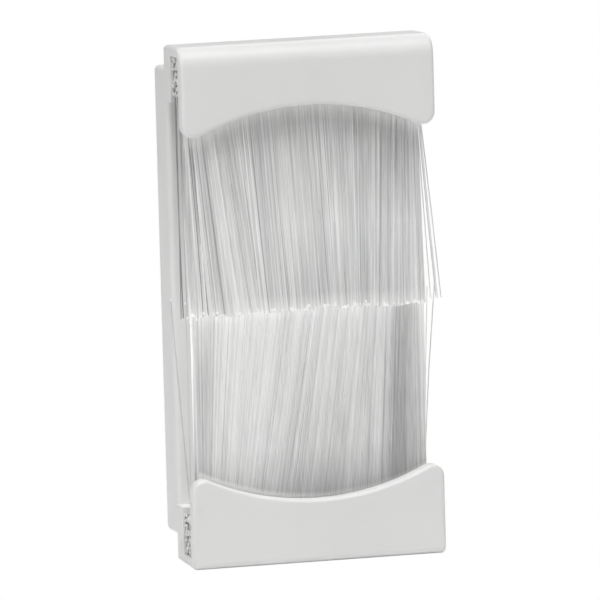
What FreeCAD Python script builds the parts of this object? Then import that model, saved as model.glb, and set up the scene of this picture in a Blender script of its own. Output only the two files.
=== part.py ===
import FreeCAD
import Part
import Sketcher
import math
import os
import random

# Brush cable grommet: a half-width wall plate module that passes cables through two curtains of filaments.
# X runs across the face, Y from the front to the back, Z up.
# The origin is the middle of the plane on which the jaws seat against the plate.

doc = FreeCAD.newDocument("brush_cable_grommet")

# Driving dimensions: millimetres, apart from the count of rows
DIMENSIONS = [
    ("width", 25.0, "jaw length, across the face"),
    ("height", 50.0, "outer face of the upper jaw to outer face of the lower jaw, at the front"),
    ("jaw_depth", 6.0, "front face to the seating plane"),
    ("front_wall", 1.3, "thickness of a jaw's front lip"),
    ("slot_width", 2.7, "channel that holds the brush, front to back"),
    ("roof", 1.1, "plastic between the channel and the jaw's outer face"),
    ("rear_wall_height", 5.6, "outer face to the inner edge of the wall behind the channel"),
    ("lip_height", 6.1, "outer face to the arch's apex"),
    ("arch_radius", 25.0, "curve of the lip's inner edge"),
    ("lobe_radius", 1.2, "round at each end of the lip"),
    ("upper_round", 1.9, "round along the upper jaw's outer front edge"),
    ("lower_round", 0.7, "round along the lower jaw's outer front edge"),
    ("outer_fall", 0.28, "how much the outer face falls towards the back, for the mould"),
    ("edge_round", 0.4, "round along the lip's edges and the jaw's ends"),
    ("frame_depth", 4.4, "rear frame, behind the seating plane"),
    ("shoulder", 2.6, "how far a jaw stands past the rear frame, to seat on the plate"),
    ("rail_inset", 0.15, "step from a jaw's end to the rail's outer face"),
    ("rail_width", 1.7, "side rail, across the face"),
    ("frame_round", 0.5, "rounds on the rear frame"),
    ("plate_thickness", 2.0, "wall plate held between the jaws and the snap ridges"),
    ("plate_play", 0.2, "spare room for the plate"),
    ("ridge_length", 9.0, "snap ridge, across the face"),
    ("ridge_height", 0.4, "snap ridge above the frame"),
    ("ridge_flat", 0.2, "crest of the snap ridge"),
    ("root_height", 3.9, "bonded root of a brush, along the filaments"),
    ("root_recess", 0.3, "jaw's end to the root's end"),
    ("bond_gap", 0.05, "adhesive between the root and each channel wall"),
    ("tip_overlap", 1.6, "how far the two curtains pass each other at mid height"),
    ("tip_spread", 0.5, "most that a tip falls short of the full length"),
    ("tip_gap", 0.12, "room between the two curtains where they pass"),
    ("strand_size", 0.26, "strand, corner to corner"),
    ("strand_pitch", 0.36, "spacing of the strands along a row"),
    ("strand_rows", 3, "rows of strands, front to back"),
    ("channel_gap", 0.6, "channel wall to the nearest row of strands"),
    ("fan_out", 0.15, "how far the outermost tips spread past their roots"),
    ("clump_pitch", 4.6, "spacing of the clumps that the tips gather in"),
    ("clump_pull", 0.12, "how far a tip is drawn into its clump"),
]

sheet = doc.addObject("Spreadsheet::Sheet", "sizes")
for row, (alias, value, meaning) in enumerate(DIMENSIONS, start=1):
    sheet.set(f"A{row}", alias)
    sheet.set(f"B{row}", str(value))
    sheet.setAlias(f"B{row}", alias)
    sheet.set(f"C{row}", meaning)
doc.recompute()


def size(alias):
    return float(sheet.get(alias))


# Helpers for sketches and features
ORIGIN = (-1, 1)
LEVEL_AXIS, UPRIGHT_AXIS = range(-1, -3, -1)
START, END, CENTRE = range(1, 4)
CUT_MARGIN = 1.0
TOUCH = 1e-6


def plane_of(body, role):
    return next(f for f in body.Origin.OriginFeatures if f.Role == role)


def new_sketch(body, name, role, raised_by=None):
    sketch = body.newObject("Sketcher::SketchObject", name)
    sketch.AttachmentSupport = [(plane_of(body, role), "")]
    sketch.MapMode = "FlatFace"
    if raised_by:
        sketch.setExpression(".AttachmentOffset.Base.y", raised_by)
    return sketch


def bind(sketch, kind, references, name, expression):
    start = float(sketch.evalExpression(expression))
    index = sketch.addConstraint(Sketcher.Constraint(kind, *references, start))
    sketch.renameConstraint(index, name)
    sketch.setExpression(f"Constraints.{name}", expression)


def point(x, y):
    return FreeCAD.Vector(x, y, 0)


def add_chain(sketch, corners):
    first = sketch.GeometryCount
    count = len(corners)
    for i in range(count):
        sketch.addGeometry(Part.LineSegment(corners[i], corners[(i + 1) % count]), False)
    for i in range(count):
        following = first + (i + 1) % count
        sketch.addConstraint(Sketcher.Constraint("Coincident", first + i, END, following, START))
    return [first + i for i in range(count)]


def add_rectangle(sketch, name, wide, high):
    half_wide = float(sketch.evalExpression(wide)) / 2
    half_high = float(sketch.evalExpression(high)) / 2
    lines = add_chain(sketch, [
        point(-half_wide, -half_high),
        point(half_wide, -half_high),
        point(half_wide, half_high),
        point(-half_wide, half_high),
    ])
    bottom, right, top, left = lines
    for level in (bottom, top):
        sketch.addConstraint(Sketcher.Constraint("Horizontal", level))
    for upright in (left, right):
        sketch.addConstraint(Sketcher.Constraint("Vertical", upright))
    sketch.addConstraint(Sketcher.Constraint("Symmetric", bottom, START, top, START, *ORIGIN))
    bind(sketch, "DistanceX", (bottom, START, bottom, END), f"{name}_wide", wide)
    bind(sketch, "DistanceY", (right, START, right, END), f"{name}_high", high)


# Housing: the rear frame first, then the upper jaw on it, mirrored for the lower jaw
housing = doc.addObject("PartDesign::Body", "housing")
housing.Label = "housing"

FRAME_WIDTH = "sizes.width - 2 * sizes.rail_inset"
FRAME_HEIGHT = "sizes.height - 2 * sizes.shoulder"

frame_sketch = new_sketch(housing, "frame_outline", "XZ_Plane")
add_rectangle(frame_sketch, "frame", FRAME_WIDTH, FRAME_HEIGHT)
add_rectangle(
    frame_sketch,
    "window",
    f"{FRAME_WIDTH} - 2 * sizes.rail_width",
    "sizes.height - 2 * sizes.rear_wall_height",
)
frame_pad = housing.newObject("PartDesign::Pad", "rear_frame")
frame_pad.Profile = frame_sketch
frame_pad.Reversed = True
frame_pad.setExpression("Length", "sizes.frame_depth")
doc.recompute()

# Section of the upper jaw, seen along X, with the sketch's origin level with the outer front corner
LIP_END_DROP = "sizes.lip_height + sizes.arch_radius - sqrt(sizes.arch_radius ^ 2 - (sizes.width / 2) ^ 2)"

section = new_sketch(housing, "jaw_section", "YZ_Plane", "sizes.height / 2")
front = -size("jaw_depth")
slot_front = front + size("front_wall")
slot_back = slot_front + size("slot_width")
lip_end = -float(section.evalExpression(LIP_END_DROP))
ledge = -size("rear_wall_height")
section_lines = add_chain(section, [
    point(front, 0),
    point(0, -size("outer_fall")),
    point(0, ledge),
    point(slot_back, ledge),
    point(slot_back, -size("roof")),
    point(slot_front, -size("roof")),
    point(slot_front, lip_end),
    point(front, lip_end),
])
outer, seat, rear_edge, slot_rear, slot_roof, lip_inside, lip_edge, lip_front = section_lines
for upright in (seat, slot_rear, lip_inside, lip_front):
    section.addConstraint(Sketcher.Constraint("Vertical", upright))
for level in (rear_edge, slot_roof, lip_edge):
    section.addConstraint(Sketcher.Constraint("Horizontal", level))
section.addConstraint(Sketcher.Constraint("PointOnObject", outer, START, LEVEL_AXIS))
section.addConstraint(Sketcher.Constraint("PointOnObject", seat, END, UPRIGHT_AXIS))
bind(section, "DistanceX", (lip_edge, END, rear_edge, START), "depth", "sizes.jaw_depth")
bind(section, "DistanceX", (lip_edge, END, lip_edge, START), "lip_thick", "sizes.front_wall")
bind(section, "DistanceX", (slot_roof, END, slot_roof, START), "slot_wide", "sizes.slot_width")
bind(section, "DistanceY", (slot_roof, START, *ORIGIN), "roof_thick", "sizes.roof")
bind(section, "DistanceY", (rear_edge, START, *ORIGIN), "rear_wall", "sizes.rear_wall_height")
bind(section, "DistanceY", (lip_edge, START, *ORIGIN), "lip_deep", LIP_END_DROP)
bind(section, "DistanceY", (seat, START, *ORIGIN), "fall", "sizes.outer_fall")

jaw_pad = housing.newObject("PartDesign::Pad", "upper_jaw")
jaw_pad.Profile = section
jaw_pad.SideType = "Symmetric"
jaw_pad.setExpression("Length", "sizes.width")
doc.recompute()

# The arch with its two rounded lobes is cut through the front lip only
arch_sketch = new_sketch(housing, "arch_outline", "XZ_Plane", "sizes.height / 2")
half_width = size("width") / 2
arch_level = -size("lip_height") - size("arch_radius")
lobe_x = half_width - size("lobe_radius")
lobe_reach = size("arch_radius") + size("lobe_radius")
lobe_level = arch_level + math.sqrt(lobe_reach ** 2 - lobe_x ** 2)
lobe_turn = math.atan2(lobe_level - arch_level, lobe_x)
cut_floor = lip_end - CUT_MARGIN
cut_side = half_width + CUT_MARGIN
normal = FreeCAD.Vector(0, 0, 1)
arch_circle = Part.Circle(point(0, arch_level), normal, size("arch_radius"))
right_circle = Part.Circle(point(lobe_x, lobe_level), normal, size("lobe_radius"))
left_circle = Part.Circle(point(-lobe_x, lobe_level), normal, size("lobe_radius"))
arch = arch_sketch.addGeometry(Part.ArcOfCircle(arch_circle, lobe_turn, math.pi - lobe_turn), False)
right_lobe = arch_sketch.addGeometry(Part.ArcOfCircle(right_circle, lobe_turn - math.pi, 0), False)
left_lobe = arch_sketch.addGeometry(Part.ArcOfCircle(left_circle, math.pi, 2 * math.pi - lobe_turn), False)
border = [
    point(half_width, lobe_level),
    point(cut_side, lobe_level),
    point(cut_side, cut_floor),
    point(-cut_side, cut_floor),
    point(-cut_side, lobe_level),
    point(-half_width, lobe_level),
]
border_lines = [
    arch_sketch.addGeometry(Part.LineSegment(border[i], border[i + 1]), False)
    for i in range(len(border) - 1)
]
right_step, right_side, floor, left_side, left_step = border_lines
for i in range(len(border_lines) - 1):
    arch_sketch.addConstraint(
        Sketcher.Constraint("Coincident", border_lines[i], END, border_lines[i + 1], START)
    )
arch_sketch.addConstraint(Sketcher.Constraint("Tangent", arch, START, right_lobe, START))
arch_sketch.addConstraint(Sketcher.Constraint("Tangent", arch, END, left_lobe, END))
arch_sketch.addConstraint(Sketcher.Constraint("Coincident", right_lobe, END, right_step, START))
arch_sketch.addConstraint(Sketcher.Constraint("Coincident", left_lobe, START, left_step, END))
arch_sketch.addConstraint(Sketcher.Constraint("PointOnObject", arch, CENTRE, UPRIGHT_AXIS))
arch_sketch.addConstraint(Sketcher.Constraint("Horizontal", right_lobe, CENTRE, right_lobe, END))
arch_sketch.addConstraint(Sketcher.Constraint("Horizontal", left_lobe, CENTRE, left_lobe, START))
arch_sketch.addConstraint(Sketcher.Constraint("Equal", right_lobe, left_lobe))
for level in (right_step, floor, left_step):
    arch_sketch.addConstraint(Sketcher.Constraint("Horizontal", level))
for upright in (right_side, left_side):
    arch_sketch.addConstraint(Sketcher.Constraint("Vertical", upright))
bind(arch_sketch, "Radius", (arch,), "arch_curve", "sizes.arch_radius")
bind(arch_sketch, "Radius", (right_lobe,), "lobe_curve", "sizes.lobe_radius")
bind(arch_sketch, "DistanceY", (arch, CENTRE, *ORIGIN), "apex", "sizes.lip_height + sizes.arch_radius")
bind(arch_sketch, "DistanceX", (*ORIGIN, right_lobe, END), "right_end", "sizes.width / 2")
bind(arch_sketch, "DistanceX", (left_lobe, START, *ORIGIN), "left_end", "sizes.width / 2")
bind(arch_sketch, "DistanceY", (floor, START, *ORIGIN), "floor_level", f"{LIP_END_DROP} + {CUT_MARGIN}")
bind(arch_sketch, "DistanceX", (right_step, START, right_step, END), "right_margin", f"{CUT_MARGIN}")
bind(arch_sketch, "DistanceX", (left_step, START, left_step, END), "left_margin", f"{CUT_MARGIN}")
arch_sketch.setExpression(".AttachmentOffset.Base.z", "sizes.jaw_depth")

arch_cut = housing.newObject("PartDesign::Pocket", "arch_cut")
arch_cut.Profile = arch_sketch
arch_cut.setExpression("Length", "sizes.front_wall + sizes.slot_width / 2")
doc.recompute()

# A snap ridge on the frame's outer face holds the plate against the seating plane
ridge_sketch = new_sketch(housing, "ridge_section", "YZ_Plane", "sizes.height / 2 - sizes.shoulder")
ridge_start = size("plate_thickness") + size("plate_play")
ridge_rise = size("ridge_height")
crest_end = ridge_start + ridge_rise + size("ridge_flat")
ridge_lines = add_chain(ridge_sketch, [
    point(ridge_start, 0),
    point(crest_end + ridge_rise, 0),
    point(crest_end, ridge_rise),
    point(ridge_start + ridge_rise, ridge_rise),
])
ridge_base, back_slope, crest, front_slope = ridge_lines
ridge_sketch.addConstraint(Sketcher.Constraint("Horizontal", ridge_base))
ridge_sketch.addConstraint(Sketcher.Constraint("Horizontal", crest))
ridge_sketch.addConstraint(Sketcher.Constraint("PointOnObject", ridge_base, START, LEVEL_AXIS))
bind(
    ridge_sketch,
    "DistanceX",
    (*ORIGIN, ridge_base, START),
    "plate_room",
    "sizes.plate_thickness + sizes.plate_play",
)
bind(ridge_sketch, "DistanceX", (crest, END, crest, START), "crest_flat", "sizes.ridge_flat")
bind(ridge_sketch, "DistanceY", (*ORIGIN, crest, START), "rise", "sizes.ridge_height")
bind(ridge_sketch, "DistanceX", (front_slope, END, front_slope, START), "front_run", "sizes.ridge_height")
bind(ridge_sketch, "DistanceX", (back_slope, END, back_slope, START), "back_run", "sizes.ridge_height")

ridge_pad = housing.newObject("PartDesign::Pad", "snap_ridge")
ridge_pad.Profile = ridge_sketch
ridge_pad.SideType = "Symmetric"
ridge_pad.setExpression("Length", "sizes.ridge_length")
doc.recompute()

lower_half = housing.newObject("PartDesign::Mirrored", "lower_jaw")
lower_half.Originals = [jaw_pad, arch_cut, ridge_pad]
lower_half.MirrorPlane = (plane_of(housing, "XY_Plane"), [""])
housing.Tip = lower_half
doc.recompute()


def edge_names(shape, wanted):
    return [f"Edge{i}" for i, edge in enumerate(shape.Edges, start=1) if wanted(edge)]


def lies_at(edge, axis, value):
    return all(abs(getattr(v.Point, axis) - value) < TOUCH for v in edge.Vertexes)


def runs_along(edge, axis):
    box = edge.BoundBox
    spans = {"x": box.XLength, "y": box.YLength, "z": box.ZLength}
    return all(span < TOUCH for name, span in spans.items() if name != axis)


# Outer front edges: a full round on the upper jaw and a small one on the lower jaw
def on_outer_front(edge, side):
    corner = lies_at(edge, "y", -size("jaw_depth")) and lies_at(edge, "z", side * size("height") / 2)
    return corner and runs_along(edge, "x")


upper_round = housing.newObject("PartDesign::Fillet", "upper_front_round")
upper_round.Base = (lower_half, edge_names(lower_half.Shape, lambda edge: on_outer_front(edge, 1)))
upper_round.setExpression("Radius", "sizes.upper_round")
housing.Tip = upper_round
doc.recompute()

lower_round = housing.newObject("PartDesign::Fillet", "lower_front_round")
lower_round.Base = (upper_round, edge_names(upper_round.Shape, lambda edge: on_outer_front(edge, -1)))
lower_round.setExpression("Radius", "sizes.lower_round")
housing.Tip = lower_round
doc.recompute()


# Lip outlines: the round follows the arch, the lobes and the ends, and runs on over each jaw's outer face
def on_lip_outline(edge):
    return lies_at(edge, "y", -size("jaw_depth")) and not runs_along(edge, "x")


lip_rounds = housing.newObject("PartDesign::Fillet", "lip_rounds")
lip_rounds.Base = (lower_round, edge_names(lower_round.Shape, on_lip_outline))
lip_rounds.setExpression("Radius", "sizes.edge_round")
housing.Tip = lip_rounds
doc.recompute()

# Rear frame: its four corners, its rear rim and the rails' front edges
rail_face = size("width") / 2 - size("rail_inset")
frame_face = size("height") / 2 - size("shoulder")


def on_frame_outside(edge):
    beside = lies_at(edge, "x", rail_face) or lies_at(edge, "x", -rail_face)
    above = lies_at(edge, "z", frame_face) or lies_at(edge, "z", -frame_face)
    corner = beside and above and runs_along(edge, "y")
    rear_rim = lies_at(edge, "y", size("frame_depth")) and (beside or above)
    mid_height = abs(edge.CenterOfMass.z) < TOUCH
    rail_front = beside and lies_at(edge, "y", 0) and mid_height
    return corner or rear_rim or rail_front


frame_rounds = housing.newObject("PartDesign::Fillet", "frame_rounds")
frame_rounds.Base = (lip_rounds, edge_names(lip_rounds.Shape, on_frame_outside))
frame_rounds.setExpression("Radius", "sizes.frame_round")
housing.Tip = frame_rounds
doc.recompute()

# Bristle roots: a bonded block in each channel, seated against the channel's roof
ROOT_LEVELS = {
    "upper": "sizes.height / 2 - sizes.roof - sizes.root_height",
    "lower": "sizes.roof - sizes.height / 2",
}
sub_parts = [housing]
for name, level in ROOT_LEVELS.items():
    root = doc.addObject("Part::Box", f"{name}_bristle_root")
    root.Label = f"{name}_bristle_root"
    root.setExpression("Length", "sizes.width - 2 * sizes.root_recess")
    root.setExpression("Width", "sizes.slot_width - 2 * sizes.bond_gap")
    root.setExpression("Height", "sizes.root_height")
    root.setExpression("Placement.Base.x", "sizes.root_recess - sizes.width / 2")
    root.setExpression("Placement.Base.y", "sizes.front_wall + sizes.bond_gap - sizes.jaw_depth")
    root.setExpression("Placement.Base.z", level)
    sub_parts.append(root)
doc.recompute()

# Bristles: rows of six-sided strands that start on the root, fan out, gather in clumps and end unevenly.
# The upper curtain leans to the front and the lower one to the back, so that they pass each other.
SIDES = 6


def strand(foot, run):
    radius = size("strand_size") / 2
    turns = [2 * math.pi * i / SIDES for i in range(SIDES + 1)]
    corners = [foot + FreeCAD.Vector(radius * math.cos(a), radius * math.sin(a), 0) for a in turns]
    return Part.Face(Part.makePolygon(corners)).extrude(run)


def curtain(side, seed):
    rows = int(size("strand_rows"))
    pitch = size("strand_pitch")
    thickness = size("slot_width") - 2 * size("channel_gap")
    row_pitch = (thickness - size("strand_size")) / max(rows - 1, 1)
    first_row = -size("jaw_depth") + size("front_wall") + size("slot_width") / 2 - row_pitch * (rows - 1) / 2
    foot_level = size("height") / 2 - size("roof") - size("root_height")
    length = foot_level + size("tip_overlap") / 2
    lean = -side * (thickness + size("tip_gap")) / 2
    reach = size("width") / 2 - size("root_recess") - size("strand_size") / 2
    count = int((2 * reach - pitch) / pitch)
    uneven = random.Random(seed)
    strands = []
    for row in range(rows):
        stagger = pitch * (row / rows - (rows - 1) / rows / 2)
        phase = uneven.uniform(0, 2 * math.pi)
        for i in range(count):
            x = (i - (count - 1) / 2) * pitch + stagger
            clump = size("clump_pull") * math.sin(2 * math.pi * x / size("clump_pitch") + phase)
            spread = size("fan_out") * x / reach
            whole = FreeCAD.Vector(spread + clump, lean, -side * length)
            share = 1 - uneven.random() * size("tip_spread") / length
            foot = FreeCAD.Vector(x, first_row + row * row_pitch, side * foot_level)
            strands.append(strand(foot, whole * share))
    return Part.makeCompound(strands)


for name, side, seed in (("upper", 1, 5), ("lower", -1, 11)):
    bristles = doc.addObject("Part::Feature", f"{name}_bristles")
    bristles.Label = f"{name}_bristles"
    bristles.Shape = curtain(side, seed)
    sub_parts.append(bristles)
doc.recompute()

# Nothing is written unless every feature and every sub-part is sound
for feature in doc.Objects:
    if "Invalid" in feature.State or "Error" in feature.State:
        raise RuntimeError(f"{feature.Name} failed: {feature.State}")
for sub_part in sub_parts:
    if sub_part.Shape.isNull() or not sub_part.Shape.isValid() or not sub_part.Shape.Solids:
        raise RuntimeError(f"{sub_part.Label} has no sound shape")

os.makedirs("parts", exist_ok=True)
for sub_part in sub_parts:
    sub_part.Shape.exportStep(f"parts/{sub_part.Label}.step")
    print(sub_part.Label, "solids", len(sub_part.Shape.Solids), "volume", round(sub_part.Shape.Volume, 2))
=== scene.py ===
import math
import random

import bmesh
import bpy
from mathutils import Matrix, Vector, noise


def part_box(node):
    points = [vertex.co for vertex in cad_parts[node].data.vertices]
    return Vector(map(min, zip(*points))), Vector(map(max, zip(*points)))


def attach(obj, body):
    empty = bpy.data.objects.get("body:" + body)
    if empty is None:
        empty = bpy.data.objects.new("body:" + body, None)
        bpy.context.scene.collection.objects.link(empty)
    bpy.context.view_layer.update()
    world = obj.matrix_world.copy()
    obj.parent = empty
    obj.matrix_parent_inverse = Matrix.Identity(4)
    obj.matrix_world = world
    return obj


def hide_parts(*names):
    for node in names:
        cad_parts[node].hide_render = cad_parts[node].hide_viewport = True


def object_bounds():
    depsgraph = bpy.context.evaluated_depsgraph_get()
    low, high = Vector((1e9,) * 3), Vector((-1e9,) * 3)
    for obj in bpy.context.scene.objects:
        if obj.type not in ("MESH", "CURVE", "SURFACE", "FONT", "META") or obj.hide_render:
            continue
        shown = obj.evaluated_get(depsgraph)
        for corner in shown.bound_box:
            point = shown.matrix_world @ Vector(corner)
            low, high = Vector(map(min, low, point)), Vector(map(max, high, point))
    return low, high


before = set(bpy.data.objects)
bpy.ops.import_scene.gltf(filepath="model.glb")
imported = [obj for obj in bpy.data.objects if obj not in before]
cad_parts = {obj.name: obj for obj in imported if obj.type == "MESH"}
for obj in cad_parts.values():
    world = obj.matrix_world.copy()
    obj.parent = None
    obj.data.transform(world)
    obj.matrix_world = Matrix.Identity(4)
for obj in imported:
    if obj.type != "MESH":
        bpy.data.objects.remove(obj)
cadLow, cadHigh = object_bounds()  # the CAD box, before any piece is added
scene = bpy.context.scene
mm = 0.001  # sizes below are in millimetres unless a note says otherwise
noiseSpan = (0.3, 0.7)  # where most values of a noise texture lie
print("frame loaded:", ", ".join(sorted(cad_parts)))


# Shader maths: a wired socket that takes part in ordinary sums
class Wire:
    def __init__(self, socket):
        self.socket = socket

    # any node: its type, its settings, then the values or links of its sockets
    @staticmethod
    def node(tree, kind, settings=None, sockets=None, output=0):
        made = tree.nodes.new(kind)
        for key, value in (settings or {}).items():
            if key == "stops":
                Wire.setStops(made.color_ramp, value)
            else:
                setattr(made, key, value)
        for key, value in (sockets or {}).items():
            if isinstance(value, Wire):
                tree.links.new(value.socket, made.inputs[key])
            else:
                made.inputs[key].default_value = value
        return Wire(made.outputs[output]) if len(made.outputs) else made

    @staticmethod
    def setStops(ramp, stops):
        while len(ramp.elements) < len(stops):
            ramp.elements.new(1)
        for element, (position, colour) in zip(ramp.elements, stops):
            element.position = position
            element.color = (*colour, 1)

    def maths(self, operation, first, second):
        tree = self.socket.id_data
        return Wire.node(tree, "ShaderNodeMath", {"operation": operation}, {0: first, 1: second})

    def __add__(self, other):
        return self.maths("ADD", self, other)

    def __radd__(self, other):
        return self.maths("ADD", other, self)

    def __sub__(self, other):
        return self.maths("SUBTRACT", self, other)

    def __rsub__(self, other):
        return self.maths("SUBTRACT", other, self)

    def __mul__(self, other):
        return self.maths("MULTIPLY", self, other)

    def __rmul__(self, other):
        return self.maths("MULTIPLY", other, self)

    def __truediv__(self, other):
        return self.maths("DIVIDE", self, other)

    def __rtruediv__(self, other):
        return self.maths("DIVIDE", other, self)

    def __abs__(self):
        return self.maths("ABSOLUTE", self, 0)


def newFinish(name):
    finish = bpy.data.materials.new(name)
    finish.use_nodes = True
    finish.node_tree.nodes.clear()
    return finish, finish.node_tree


def objectNoise(tree, scale, detail=2.0, stretch=(1, 1, 1)):
    place = Wire.node(tree, "ShaderNodeTexCoord", output="Object")
    place = Wire.node(tree, "ShaderNodeMapping", None, {"Vector": place, "Scale": stretch})
    sockets = {"Vector": place, "Scale": scale, "Detail": detail}
    return Wire.node(tree, "ShaderNodeTexNoise", None, sockets, "Fac")


# sockets 6 and 7, and output 2, are the Mix node's colours
def mixColours(tree, factor, first, second, blend="MIX"):
    settings = {"data_type": "RGBA", "blend_type": blend, "clamp_factor": True}
    return Wire.node(tree, "ShaderNodeMix", settings, {0: factor, 6: first, 7: second}, 2)


# takes the ends of a span to the two values of the result, and goes no further
def rangeOf(tree, value, span, result):
    return Wire.node(tree, "ShaderNodeMapRange", {"clamp": True}, {
        "Value": value,
        "From Min": span[0],
        "From Max": span[1],
        "To Min": result[0],
        "To Max": result[1],
    })


def bumpOf(tree, height, strength, depth):
    sockets = {"Strength": strength, "Distance": depth * mm, "Height": height}
    return Wire.node(tree, "ShaderNodeBump", None, sockets)


def attributeOf(tree, name):
    return Wire.node(tree, "ShaderNodeAttribute", {"attribute_name": name}, output="Fac")


def surface(tree, shader):
    Wire.node(tree, "ShaderNodeOutputMaterial", None, {"Surface": shader})


def addPiece(name, mesh, finish, node):
    piece = bpy.data.objects.new(name, mesh)
    scene.collection.objects.link(piece)
    mesh.materials.clear()
    mesh.materials.append(finish)
    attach(piece, "root")
    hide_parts(node)
    return piece


# Housing: the moulding itself, with its small unrounded edges softened
mouldingLook = {
    "whiteLow": (0.800, 0.800, 0.794, 1),
    "whiteHigh": (0.836, 0.836, 0.830, 1),
    "rough": (0.34, 0.44),
    "refraction": 1.5,
    "flowScale": 90.0,  # per metre, for the cloudy flow of the resin
    "flowDetail": 3.0,
    "flowStretch": (1, 1, 0.45),
    "flowShare": 0.6,  # of the roughness, and the grain has the rest
    "grainScale": 5200.0,  # per metre, for the fine grain of the tool
    "grainBump": 0.05,
    "grainDepth": 0.004,
    "edgeSoftening": 0.07,
    "edgeAngle": 60.0,  # degrees, an outer edge above it is softened
    "creaseAngle": 41.0,  # degrees, above the steps of the moulding's own rounds
    "flatAngle": 0.2,  # degrees, faces that differ by less become one
    "mergeWithin": 0.002,
    "evenWeight": 80,  # how far large faces lead the shading
}


def makeMouldingFinish(look):
    finish, tree = newFinish("satin_white_moulding")
    flow = objectNoise(tree, look["flowScale"], look["flowDetail"], look["flowStretch"])
    grain = objectNoise(tree, look["grainScale"])
    cloudy = rangeOf(tree, flow, noiseSpan, (0, 1))
    uneven = flow * look["flowShare"] + grain * (1 - look["flowShare"])
    surface(tree, Wire.node(tree, "ShaderNodeBsdfPrincipled", None, {
        "Base Color": mixColours(tree, cloudy, look["whiteLow"], look["whiteHigh"]),
        "Roughness": rangeOf(tree, uneven, noiseSpan, look["rough"]),
        "Normal": bumpOf(tree, grain, look["grainBump"], look["grainDepth"]),
        "IOR": look["refraction"],
    }))
    return finish


def makeHousing(look):
    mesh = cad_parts["housing"].data.copy()
    mesh.name = "moulded_housing"
    mesh.attributes.remove(mesh.attributes["custom_normal"])  # the normals are made afresh below
    within = look["mergeWithin"] * mm
    flat, sharp, crease = (
        math.radians(look[key]) for key in ("flatAngle", "edgeAngle", "creaseAngle")
    )
    shell = bmesh.new()
    shell.from_mesh(mesh)
    bmesh.ops.remove_doubles(shell, verts=shell.verts, dist=within)
    bmesh.ops.dissolve_limit(shell, angle_limit=flat, verts=shell.verts, edges=shell.edges)
    bmesh.ops.bevel(
        shell,
        geom=[edge for edge in shell.edges if edge.calc_face_angle_signed(0) > sharp],
        offset=look["edgeSoftening"] * mm,
        offset_type="OFFSET",
        affect="EDGES",
        segments=3,
        profile=0.5,
        material=-1,
    )
    bmesh.ops.remove_doubles(shell, verts=shell.verts, dist=within)
    bmesh.ops.dissolve_degenerate(shell, dist=within, edges=shell.edges)
    manySided = [face for face in shell.faces if len(face.verts) > 4]
    bmesh.ops.triangulate(shell, faces=manySided, ngon_method="BEAUTY")
    shell.to_mesh(mesh)
    shell.free()
    mesh.shade_smooth()
    mesh.set_sharp_from_angle(angle=crease)
    piece = addPiece("moulded_housing", mesh, makeMouldingFinish(look), "housing")
    even = piece.modifiers.new("even_shading", "WEIGHTED_NORMAL")
    even.keep_sharp = True
    even.weight = look["evenWeight"]


makeHousing(mouldingLook)
print("housing dressed")

# Bonded roots: lumpy blocks of glued filament ends, with beads of melt at the jaws' open ends
rootLook = {
    "cuts": (48, 6, 10),
    "lump": 0.10,
    "lumpScale": 1.7,  # per millimetre
    "lumpBack": 0.5,  # a lump's depth front to back, to its depth across
    "beadRows": 12,
    "beadColumns": 6,
    "beadStray": (0.3, 0.4),  # shares of a column and of a row
    "beadSize": (0.15, 0.30),
    "beadReach": 12.46,  # just short of the jaws' ends
    "beadSink": 0.2,  # how far in from there a bead may lie
    "beadFlat": 0.7,  # its size across, to its size front to back
    "beadTall": (0.8, 1.5),  # its height, to its size front to back
    "missing": 0.5,  # share of the rearmost beads that are gaps
    "paleLow": (0.72, 0.71, 0.69, 1),
    "paleHigh": (0.93, 0.93, 0.92, 1),
    # the colour of the painted shade in the bond's pits and in the gaps behind its beads
    "paintedShadeColour": (0.05, 0.05, 0.045, 1),
    "speckScale": 4200.0,  # per metre
    "speckSpan": (0.35, 0.65),
    "pitScale": 3360.0,  # per metre
    "pitDetail": 1.0,
    "pitStretch": (1, 1, 0.6),
    "pitSpan": (0.36, 0.44),
    "pitShade": 0.9,
    "gapShade": 0.5,
    "rough": (0.25, 0.5),
    "bump": 0.5,
    "bumpDepth": 0.05,
    "seed": 3,
}


def makeRootFinish(look):
    finish, tree = newFinish("speckled_bond")
    bead = attributeOf(tree, "bead")  # 1 on a pale bead and 0 on the gaps behind it, which get painted shade
    specks = objectNoise(tree, look["speckScale"])
    pits = objectNoise(tree, look["pitScale"], look["pitDetail"], look["pitStretch"])
    speckled = rangeOf(tree, specks, look["speckSpan"], (0, 1))
    pitted = rangeOf(tree, pits, look["pitSpan"], (1, 0))
    colour = mixColours(tree, speckled, look["paleLow"], look["paleHigh"])
    # painted shade: darker in the pits and in the gaps behind the beads
    paintedShade = pitted * look["pitShade"] + (1 - bead) * look["gapShade"]
    surface(tree, Wire.node(tree, "ShaderNodeBsdfPrincipled", None, {
        "Base Color": mixColours(tree, paintedShade, colour, look["paintedShadeColour"]),
        "Roughness": rangeOf(tree, specks, noiseSpan, look["rough"]),
        "Normal": bumpOf(tree, specks, look["bump"], look["bumpDepth"]),
    }))
    return finish


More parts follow.
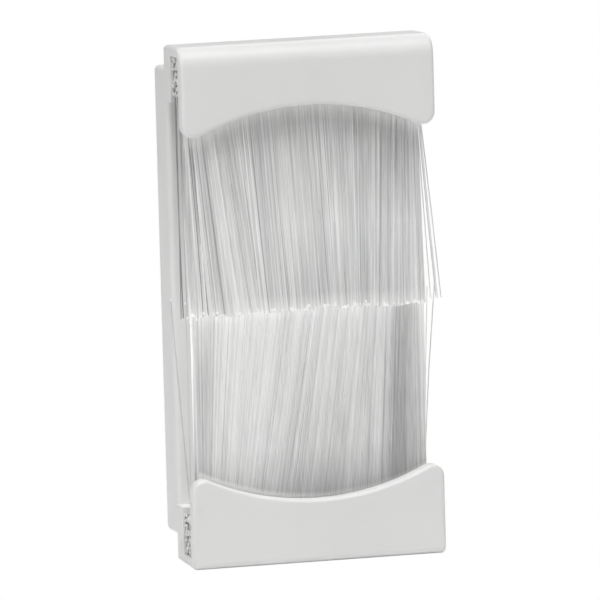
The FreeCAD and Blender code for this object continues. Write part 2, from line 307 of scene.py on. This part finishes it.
def makeRoot(side, node, look, finish):
    low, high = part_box(node)
    middle, size = (low + high) / 2, high - low
    block = bmesh.new()
    beadLayer = block.verts.layers.float.new("bead")
    bmesh.ops.create_cube(block, size=1)
    for axis, cuts in enumerate(look["cuts"]):
        along = [  # the sides that run this way are one long, and the others nought
            edge for edge in block.edges
            if abs((edge.verts[1].co - edge.verts[0].co)[axis]) > 0.5
        ]
        bmesh.ops.subdivide_edges(block, edges=along, cuts=cuts, use_grid_fill=True)
    bmesh.ops.scale(block, vec=size, verts=block.verts)
    bmesh.ops.translate(block, vec=middle, verts=block.verts)
    for vert in block.verts:  # lumps press inwards, so that the block stays in its channel
        # the bead mask is nought on the block's open ends, where the finish paints shade behind the
        # beads
        vert[beadLayer] = min(max((high.x - abs(vert.co.x)) / mm, 0), 1)
        depth = look["lump"] * mm * (0.5 + 0.5 * noise.noise(vert.co / mm * look["lumpScale"]))
        inward = middle - vert.co
        vert.co.x += math.copysign(depth, inward.x)
        vert.co.y += math.copysign(depth * look["lumpBack"], inward.y)
    pick = random.Random(look["seed"] + side)
    strayY, strayZ = look["beadStray"]
    for end in (-1, 1):
        for row in range(look["beadRows"]):
            for column in range(look["beadColumns"]):
                deep = (column + 0.5 + pick.uniform(-strayY, strayY)) / look["beadColumns"]
                girth = pick.uniform(*look["beadSize"]) * mm
                if pick.random() < look["missing"] * deep:
                    continue
                y = low.y + size.y * deep
                z = low.z + size.z * (row + 0.5 + pick.uniform(-strayZ, strayZ)) / look["beadRows"]
                reach = look["beadReach"] * mm - girth * look["beadFlat"]
                reach -= pick.uniform(0, look["beadSink"]) * mm
                y = min(max(y, low.y + girth), high.y - girth)
                z = min(max(z, low.z + girth), high.z - girth)
                tall = pick.uniform(*look["beadTall"])
                stretch = Matrix.Diagonal((look["beadFlat"], 1, tall, 1))
                place = Matrix.Translation((end * reach, y, z)) @ stretch
                made = bmesh.ops.create_icosphere(block, subdivisions=1, radius=girth, matrix=place)
                for vert in made["verts"]:
                    vert[beadLayer] = 1
    mesh = bpy.data.meshes.new(node)
    block.to_mesh(mesh)
    block.free()
    mesh.shade_smooth()
    addPiece(f"{node}_bond", mesh, finish, node)


rootFinish = makeRootFinish(rootLook)
makeRoot(1, "upper_bristle_root", rootLook, rootFinish)
makeRoot(-1, "lower_bristle_root", rootLook, rootFinish)
print("bonded roots made")

# Bristles: each curtain is a few thousand clear filaments with cut ends
filamentLook = {
    "thickness": 0.086,
    "headLength": 0.18,  # the cut end
    "neckStart": 1.6,  # in lengths of the cut end
    "beadShare": 0.2,  # of the cut ends, those melted into a bead
    "beadSize": (0.3, 1),
    "beadGirth": 1.3,  # how much a bead of size 1 adds to the thickness
    "strayBead": 0.6,
    "flatness": 1.6,  # how far the normals lean to the curtain's two faces
    "columns": 270,
    "rows": 12,
    "columnStray": 0.5,  # share of a column
    "rowStray": 0.6,  # share of a row
    "footDepth": (-4.50, -2.20),
    "steps": (0.0, 0.3, 0.62, 0.925),
    "bow": 0.04,
    "strayBow": 0.12,
    "tipGather": (0.12, 0.8),  # strength and pitch of loose clumps
    "tipStray": (0.05, 0.03),  # sideways and in depth
    "fray": (0.25, 0.6),  # strength and width of the frayed right edge
    "tipWaves": ((0.22, 2.4, 7), (0.20, 0.7, 9)),  # height, pitch and row of the uneven cut
    "toneWave": (0.07, 1.9, 0.15),  # strength, pitch, and step from row to row
    "streakPitch": (0.20, 0.6, 9.0),  # across, step from row to row, and along
    "cloudPitch": (2.2, 0.1, 5.0),
    "cloud": 0.10,
    "paleFilament": 0.16,  # how much paler the odd filament is
    "paleShare": 0.06,
    "fleckShare": 0.08,
    "dark": (0.385, 0.387, 0.390, 1),
    "pale": (0.975, 0.975, 0.965, 1),
    "paintedShade": (0.05, 0.05, 0.05, 1),  # painted shade for tones below nought: the dark seen past a filament
    "cutEnd": (0.98, 0.98, 0.98, 1),
    "endGlow": (0.22, 0.22, 0.22, 1),  # painted glow at the cut ends, standing in for light that the clear filaments pipe to them
    "streakScale": 6500.0,  # per metre
    "streakStretch": (1, 1, 0.03),
    "streakTone": 0.40,
    "lilac": (0.93, 0.93, 0.965, 1),
    "lilacSpan": (0.55, 0.75),
    "warm": (0.965, 0.960, 0.935, 1),
    "warmSpan": (0.25, 0.42),
    "hueScale": 170.0,  # per metre
    "hueStretch": (1, 1, 0.5),
    "hueStrength": 0.5,
    "noiseDetail": 1.0,
    "rough": (0.38, 0.55),
    "refraction": 1.53,
    "lipLevel": 18.75,
    "lipMiddle": 0.42,
    "lipRadius": 25.0,
    "lipReach": (0.40, 2.4),  # of the light at the lower and at the upper lip
    "lipDepth": (-4.0, -3.4),  # where that light starts to fade and where it ends
    "lipTones": ((0.0, 0.72), (0.33, 0.40), (0.67, 0.15), (1.0, 0.0)),
}
upperCurtain = {
    "node": "upper_bristles",
    "seed": 21,
    "footSpan": (-12.05, 11.05),
    "footLevel": 20.3,
    "tipLevel": -0.9,
    "tipScatter": 0.16,
    "tipDepth": (-5.00, -3.50),
    # sideways drift of a tip, by the place of its foot
    "drift": (
        (-12.1, 0.5), (-11.5, 1.6), (-9.9, 2.3), (-8.2, 2.6), (-5.4, 1.35),
        (-3.4, 1.2), (-1.3, 1.0), (0.7, 1.0), (2.9, 0.45), (5.2, -0.3),
        (7.6, -0.9), (9.0, -0.8), (10.2, -0.2), (11.1, 0.1),
    ),
    # filament's middle, level, half width, half height and strength of paler or darker patches;
    # some of the paler ones are painted light that lifts the shade near the lips
    "patches": (
        (-9.3, 14.8, 3.2, 2.6, 0.13),
        (-9.9, 6.0, 0.5, 7.0, -0.12),
        (-8.5, 5.0, 0.8, 8.0, 0.16),
        (-6.9, 7.0, 0.5, 9.0, -0.15),
        (-5.6, 5.0, 0.3, 7.0, 0.08),
        (-2.5, 2.2, 4.0, 2.8, -0.22),
        (-1.9, 10.0, 0.8, 5.0, 0.08),
        (0.1, 8.0, 0.7, 9.0, -0.08),
        (0.5, 14.0, 2.6, 2.5, 0.09),
        (2.5, 5.0, 0.5, 4.5, 0.18),
        (4.0, 2.0, 6.0, 3.2, -0.20),
        (5.5, 7.0, 0.5, 10.0, -0.10),
        (8.6, 14.0, 3.0, 2.5, -0.14),
        (9.6, 11.5, 1.3, 4.0, -0.10),
        (0.0, -0.8, 16.0, 0.8, 0.22),
    ),
    "baseTone": 0.735,
    "toneScatter": 0.12,
    "streaks": 0.26,
    "flecks": 0.30,  # how much darker the odd filament is
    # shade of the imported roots, by the level
    "shade": ((2.0, 0.0), (8.0, 0.03), (12.0, 0.14), (15.0, 0.33), (20.3, 0.68)),
    # foot x, foot y, tip x, tip y, tip z and tone of single filaments that stray; a tone below
    # nought darkens the filament with painted shade
    "strays": (
        (-12.15, -2.60, -12.20, -2.50, -1.45, -0.10),
        (-12.12, -2.40, -11.95, -2.40, -1.40, -0.40),
        (-12.10, -2.75, -11.45, -2.90, -1.65, 1.00),
        (-12.05, -3.10, -11.75, -3.10, -1.20, 0.40),
        (-11.95, -4.52, -11.30, -4.70, -1.20, 1.00),
        (-11.85, -4.54, -10.70, -5.00, -1.00, -0.15),
        (-11.80, -4.54, -11.05, -4.95, -0.90, 1.00),
        (-11.60, -4.56, -10.20, -5.05, -0.90, 0.0),
        (-11.30, -4.56, -10.35, -5.05, -0.80, 1.00),
        (-10.70, -4.56, -8.60, -5.06, -0.90, 0.05),
        (-9.60, -4.56, -7.00, -5.06, -0.85, 1.00),
        (-6.40, -4.56, -4.95, -5.06, -0.90, 1.00),
        (11.20, -3.90, 13.05, -4.30, -0.55, 0.55),
        (11.20, -4.05, 12.65, -4.45, -0.55, 0.80),
        (11.10, -4.00, 12.50, -4.50, -0.50, 0.55),
        (11.10, -3.60, 12.05, -4.20, -0.60, 0.70),
    ),
}
lowerCurtain = {
    "node": "lower_bristles",
    "seed": 47,
    "footSpan": (-11.3, 11.1),
    "footLevel": -20.3,
    "tipLevel": 0.8,
    "tipScatter": 0.16,
    "tipDepth": (-3.30, -1.80),
    "drift": (
        (-11.3, 0.5), (-9.95, 1.9), (-8.3, 2.6), (-6.7, 3.4), (-5.0, 3.95),
        (-3.05, 3.95), (-0.8, 3.45), (1.1, 3.5), (3.5, 2.75), (6.0, 1.7),
        (8.0, 1.4), (9.7, 0.8), (11.1, 0.2),
    ),
    "patches": (
        (-10.5, -9.0, 0.6, 9.0, -0.12),
        (-8.0, -7.0, 2.2, 14.0, 0.17),
        (-0.8, -9.9, 0.9, 5.0, -0.12),
        (-6.6, -20.3, 3.2, 3.5, 0.12),
        (1.8, -20.3, 2.2, 4.0, -0.18),
        (3.2, -15.0, 0.8, 4.0, -0.14),
        (5.4, -9.0, 1.2, 12.0, -0.10),
        (7.2, -14.0, 1.3, 4.0, -0.07),
        (9.1, -9.0, 1.7, 18.0, -0.56),
        (10.2, -20.3, 1.6, 3.5, 0.36),
    ),
    "baseTone": 0.785,
    "toneScatter": 0.065,
    "streaks": 0.18,
    "flecks": 0.20,
    "shade": ((2.0, 0.0), (10.0, 0.03), (14.0, 0.10), (17.0, 0.29), (20.3, 0.62)),
    "strays": (
        (-11.80, -2.70, -12.75, -0.90, 0.55, 0.45),
        (-11.90, -2.90, -11.70, -2.30, 0.30, 0.60),
        (-11.55, -4.54, -11.40, -3.30, 0.60, 1.00),
        (11.20, -3.00, 12.90, -2.70, 0.60, 0.60),
        (11.20, -3.20, 12.20, -2.60, 0.40, 0.90),
    ),
}


# the value at x on a line drawn through points
def between(points, x):
    for (xa, a), (xb, b) in zip(points, points[1:]):
        if x <= xb:
            return a + (b - a) * min(max((x - xa) / (xb - xa), 0), 1)
    return points[-1][1]


# smooth unevenness along a row, unlike that of the next row
def wave(x, pitch, row):
    rowsApart, plane = 3.7, 0.5
    return noise.noise((x / pitch, row * rowsApart, plane))


# smooth unevenness over a curtain's face
def pattern(x, row, z, pitch):
    across, rowStep, along = pitch
    return noise.noise((x / across, row * rowStep, z / along))


# one filament: its points in millimetres, the last three of them the neck and the cut end
def filamentPath(foot, tip, bow, look):
    run = tip - foot
    side = Vector((bow, 0, 0))
    points = [foot + run * s + side * math.sin(math.pi * s) for s in look["steps"]]
    head = run.normalized() * look["headLength"]
    return points + [tip - head * look["neckStart"], tip - head, tip]


# the tones of a filament's points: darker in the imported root, and streaked along its length
def filamentTones(path, tone, row, curtain, look):
    tones = []
    footX = path[0].x
    middle = (footX + path[-1].x) / 2
    for point in path:
        level = tone - between(curtain["shade"], abs(point.z))
        level += curtain["streaks"] * pattern(footX, row, point.z, look["streakPitch"])
        level += look["cloud"] * pattern(footX, row, point.z, look["cloudPitch"])
        for x, z, wide, tall, strength in curtain["patches"]:
            level += strength * math.exp(-((middle - x) / wide) ** 2 - ((point.z - z) / tall) ** 2)
        tones.append(min(max(level, 0), 1))
    return tones


def curtainPaths(curtain, look):
    pick = random.Random(curtain["seed"])
    side = math.copysign(1, curtain["footLevel"])
    left, right = curtain["footSpan"]
    front, back = look["footDepth"]
    tipFront, tipBack = curtain["tipDepth"]
    gather, gatherPitch = look["tipGather"]
    strayX, strayY = look["tipStray"]
    fray, frayWidth = look["fray"]
    toneWave, tonePitch, toneStep = look["toneWave"]
    paths, tones, beads = [], [], []
    for row in range(look["rows"]):
        for column in range(look["columns"]):
            # every other row stands half a column along
            place = column + 0.5 * (row % 2) + pick.uniform(0, look["columnStray"])
            x = left + (right - left) * place / look["columns"]
            # the filaments crowd towards the curtain's two faces
            turn = math.pi * (row + pick.uniform(0, look["rowStray"])) / look["rows"]
            deep = 0.5 - 0.5 * math.cos(turn)
            tipX = x + between(curtain["drift"], x) + gather * wave(x, gatherPitch, row)
            tipX += pick.gauss(0, strayX)
            tipX += abs(pick.gauss(0, fray)) * max(0, x - right + frayWidth)
            level = curtain["tipLevel"]
            for height, pitch, waveRow in look["tipWaves"]:
                level += height * wave(x, pitch, waveRow)
            level += side * abs(pick.gauss(0, curtain["tipScatter"]))
            tipY = tipFront + (tipBack - tipFront) * deep + pick.gauss(0, strayY)
            foot = Vector((x, front + (back - front) * deep, curtain["footLevel"]))
            path = filamentPath(foot, Vector((tipX, tipY, level)), pick.gauss(0, look["bow"]), look)
            tone = curtain["baseTone"] + toneWave * wave(x, tonePitch, row * toneStep)
            tone += pick.gauss(0, curtain["toneScatter"])
            chance = pick.random()
            tone += look["paleFilament"] * (chance > 1 - look["paleShare"])
            tone -= curtain["flecks"] * (chance < look["fleckShare"])
            paths.append(path)
            tones.append(filamentTones(path, tone, row, curtain, look))
            beads.append(pick.uniform(*look["beadSize"]) * (pick.random() < look["beadShare"]))
    for footX, footY, tipX, tipY, tipZ, tone in curtain["strays"]:
        foot, tip = Vector((footX, footY, curtain["footLevel"])), Vector((tipX, tipY, tipZ))
        path = filamentPath(foot, tip, pick.gauss(0, look["strayBow"]), look)
        paths.append(path)
        tones.append([tone] * len(path))
        beads.append(look["strayBead"])
    return paths, tones, beads


# painted light that clear filaments would pass on beside a lip, on the front only: added tone, by
# the distance from the lip's arched edge, which a parabola follows closely
def lipLight(tree, look):
    place = Wire.node(tree, "ShaderNodeTexCoord", output="Object")
    across, deep, up = (
        Wire.node(tree, "ShaderNodeSeparateXYZ", None, {"Vector": place}, axis) for axis in "XYZ"
    )
    sideways = across / mm - look["lipMiddle"]
    edge = look["lipLevel"] - sideways * sideways * (0.5 / look["lipRadius"])
    away = edge - abs(up) / mm
    reach = rangeOf(tree, up, (-mm, mm), look["lipReach"])
    stops = [(spot, (tone, tone, tone)) for spot, tone in look["lipTones"]]
    glow = Wire.node(tree, "ShaderNodeValToRGB", {"stops": stops}, {"Fac": away / reach})
    return glow * rangeOf(tree, deep, [y * mm for y in look["lipDepth"]], (1, 0))


def makeFilamentFinish(look):
    finish, tree = newFinish("clear_nylon_filament")
    tone = attributeOf(tree, "tone")
    cutEnd = attributeOf(tree, "cutEnd")
    streak = objectNoise(tree, look["streakScale"], look["noiseDetail"], look["streakStretch"])
    hue = objectNoise(tree, look["hueScale"], look["noiseDetail"], look["hueStretch"])
    # the tone and its streaks, with the painted light beside the lips
    lit = tone + look["streakTone"] * (streak - 0.5) + lipLight(tree, look)
    # tones below nought fade to painted shade
    unlit = rangeOf(tree, tone, (-1, 0), (1, 0))
    bluish = rangeOf(tree, hue, look["lilacSpan"], (0, look["hueStrength"]))
    yellowish = rangeOf(tree, hue, look["warmSpan"], (look["hueStrength"], 0))
    colour = mixColours(tree, lit, look["dark"], look["pale"])
    colour = mixColours(tree, unlit, colour, look["paintedShade"])
    colour = mixColours(tree, bluish, colour, look["lilac"], "MULTIPLY")
    colour = mixColours(tree, yellowish, colour, look["warm"], "MULTIPLY")
    surface(tree, Wire.node(tree, "ShaderNodeBsdfPrincipled", None, {
        "Base Color": mixColours(tree, cutEnd, colour, look["cutEnd"]),
        "Roughness": rangeOf(tree, streak, noiseSpan, look["rough"]),
        "IOR": look["refraction"],
        # the cut ends glow: painted light
        "Emission Color": mixColours(tree, cutEnd, (0, 0, 0, 1), look["endGlow"]),
        "Emission Strength": 1.0,
    }))
    return finish


def makeCurtain(curtain, look, finish):
    paths, tones, beads = curtainPaths(curtain, look)
    half = look["thickness"] / 2 * mm
    tuft = bmesh.new()
    toneLayer = tuft.verts.layers.float.new("tone")
    endLayer = tuft.verts.layers.float.new("cutEnd")
    order = tuft.faces.layers.int.new("order")
    for index, path in enumerate(paths):
        place = Matrix.Translation(path[0] * mm)
        made = bmesh.ops.create_grid(tuft, x_segments=1, y_segments=1, size=half, matrix=place)
        made["verts"][0].link_faces[0][order] = index
        for vert in made["verts"]:
            vert[toneLayer] = tones[index][0]
    ends = list(tuft.faces)
    rings = len(paths[0])
    head = rings - 2  # the ring where the cut end starts
    for ring in range(1, rings):
        ends = bmesh.ops.extrude_discrete_faces(tuft, faces=ends)["faces"]
        for end in ends:
            index = end[order]
            before, after = paths[index][ring - 1] * mm, paths[index][ring] * mm
            spread = 1 + look["beadGirth"] * beads[index] if ring == head else 1
            for vert in end.verts:
                vert.co = after + (vert.co - before) * spread
                vert[toneLayer] = tones[index][ring]
                vert[endLayer] = beads[index] * (ring >= head)
    openEdges = [edge for edge in tuft.edges if edge.is_boundary]
    bmesh.ops.holes_fill(tuft, edges=openEdges, sides=4)
    bmesh.ops.recalc_face_normals(tuft, faces=tuft.faces)
    tuft.faces.layers.int.remove(order)
    node = curtain["node"]
    mesh = bpy.data.meshes.new(node)
    tuft.to_mesh(mesh)
    tuft.free()
    mesh.shade_smooth()
    flattened = []  # each filament shades as part of its curtain's face
    for vert in mesh.vertices:
        lean = Vector((0, math.copysign(look["flatness"], vert.normal.y), 0))
        flattened.append((vert.normal + lean).normalized())
    mesh.normals_split_custom_set_from_vertices(flattened)
    piece = addPiece(f"{node}_filaments", mesh, finish, node)
    piece.visible_shadow = False  # clear filaments let the light through
    print(piece.name, len(paths), "filaments,", len(mesh.polygons), "faces")


filamentFinish = makeFilamentFinish(filamentLook)
makeCurtain(upperCurtain, filamentLook, filamentFinish)
makeCurtain(lowerCurtain, filamentLook, filamentFinish)

# Studio: a plain pale floor and soft light
studio = {
    "floorHalf": 3.0,  # metres
    "floorWhite": (0.93, 0.93, 0.93, 1),
    "skyWhite": (1, 1, 1, 1),
    "skyDim": 0.06,  # the sky's strength, apart from what the camera sees of it
    "boxes": (
        # name, place in metres, size in metres, watts
        ("soft_box_front", (-0.22, -0.58, 0.44), 0.55, 0.41),
        ("soft_box_left", (-0.60, -0.25, 0.25), 0.40, 0.62),
        ("soft_box_corner", (-0.24, 0.06, 0.26), 0.20, 0.18),
        ("soft_box_right", (0.60, -0.15, 0.20), 0.45, 0.33),
        ("soft_box_above", (-0.05, -0.22, 0.62), 0.40, 3.4),
        ("soft_box_behind", (0.40, 0.50, 0.35), 0.45, 1.25),
    ),
}


def makeFloor(look):
    slab = bmesh.new()
    bmesh.ops.create_grid(slab, x_segments=1, y_segments=1, size=look["floorHalf"])
    bmesh.ops.translate(slab, vec=(0, 0, cadLow.z), verts=slab.verts)
    mesh = bpy.data.meshes.new("floor")
    slab.to_mesh(mesh)
    slab.free()
    finish, tree = newFinish("pale_floor")
    seen = Wire.node(tree, "ShaderNodeLightPath", output="Is Camera Ray")
    matt = Wire.node(tree, "ShaderNodeBsdfDiffuse", None, {"Color": look["floorWhite"]})
    plain = Wire.node(tree, "ShaderNodeEmission")
    surface(tree, Wire.node(tree, "ShaderNodeMixShader", None, {0: seen, 1: matt, 2: plain}))
    floor = bpy.data.objects.new("floor", mesh)
    mesh.materials.append(finish)
    scene.collection.objects.link(floor)


def makeLight(look):
    world = bpy.data.worlds.new("studio")
    scene.world = world
    world.use_nodes = True
    tree = world.node_tree
    tree.nodes.clear()
    seen = Wire.node(tree, "ShaderNodeLightPath", output="Is Camera Ray")
    strength = seen * (1 - look["skyDim"]) + look["skyDim"]
    sockets = {"Color": look["skyWhite"], "Strength": strength}
    sky = Wire.node(tree, "ShaderNodeBackground", None, sockets)
    Wire.node(tree, "ShaderNodeOutputWorld", None, {"Surface": sky})
    for name, place, size, watts in look["boxes"]:
        lamp = bpy.data.lights.new(name, "AREA")
        lamp.shape = "SQUARE"
        lamp.size = size
        lamp.energy = watts
        box = bpy.data.objects.new(name, lamp)
        box.location = place
        box.rotation_euler = (-Vector(place)).to_track_quat("-Z", "Y").to_euler()
        scene.collection.objects.link(box)


makeFloor(studio)
makeLight(studio)
scene.view_settings.view_transform = "Standard"
print("studio set")

# Camera: a long lens at the photograph's angle
shot = {
    "turn": 15.843,  # degrees round to the left of the face
    "rise": 7.680,  # degrees above the horizon
    "lean": 1.589,  # degrees of tilt in the picture
    "distance": 1.1402,  # metres
    "aim": (0.0, -0.002, 0.0),  # metres
    "lens": 718.1,
    "sensor": 36.0,
    "shift": (-0.00463, -0.00427),  # shares of the picture
    "clip": (0.01, 20.0),  # metres
}


def makeCamera(look):
    turn, rise, lean = (math.radians(look[key]) for key in ("turn", "rise", "lean"))
    level = Vector((math.cos(turn), -math.sin(turn), 0))
    ahead = Vector((
        math.sin(turn) * math.cos(rise),
        math.cos(turn) * math.cos(rise),
        -math.sin(rise),
    ))
    above = level.cross(ahead)
    right = level * math.cos(lean) - above * math.sin(lean)
    up = level * math.sin(lean) + above * math.cos(lean)
    lens = bpy.data.cameras.new("photo_camera")
    lens.lens = look["lens"]
    lens.sensor_width = look["sensor"]
    lens.shift_x, lens.shift_y = look["shift"]
    lens.clip_start, lens.clip_end = look["clip"]
    camera = bpy.data.objects.new("photo_camera", lens)
    place = Vector(look["aim"]) - ahead * look["distance"]
    turned = Matrix((right, up, -ahead)).transposed().to_4x4()
    camera.matrix_world = Matrix.Translation(place) @ turned
    scene.collection.objects.link(camera)
    scene.camera = camera


makeCamera(shot)
print("camera placed")
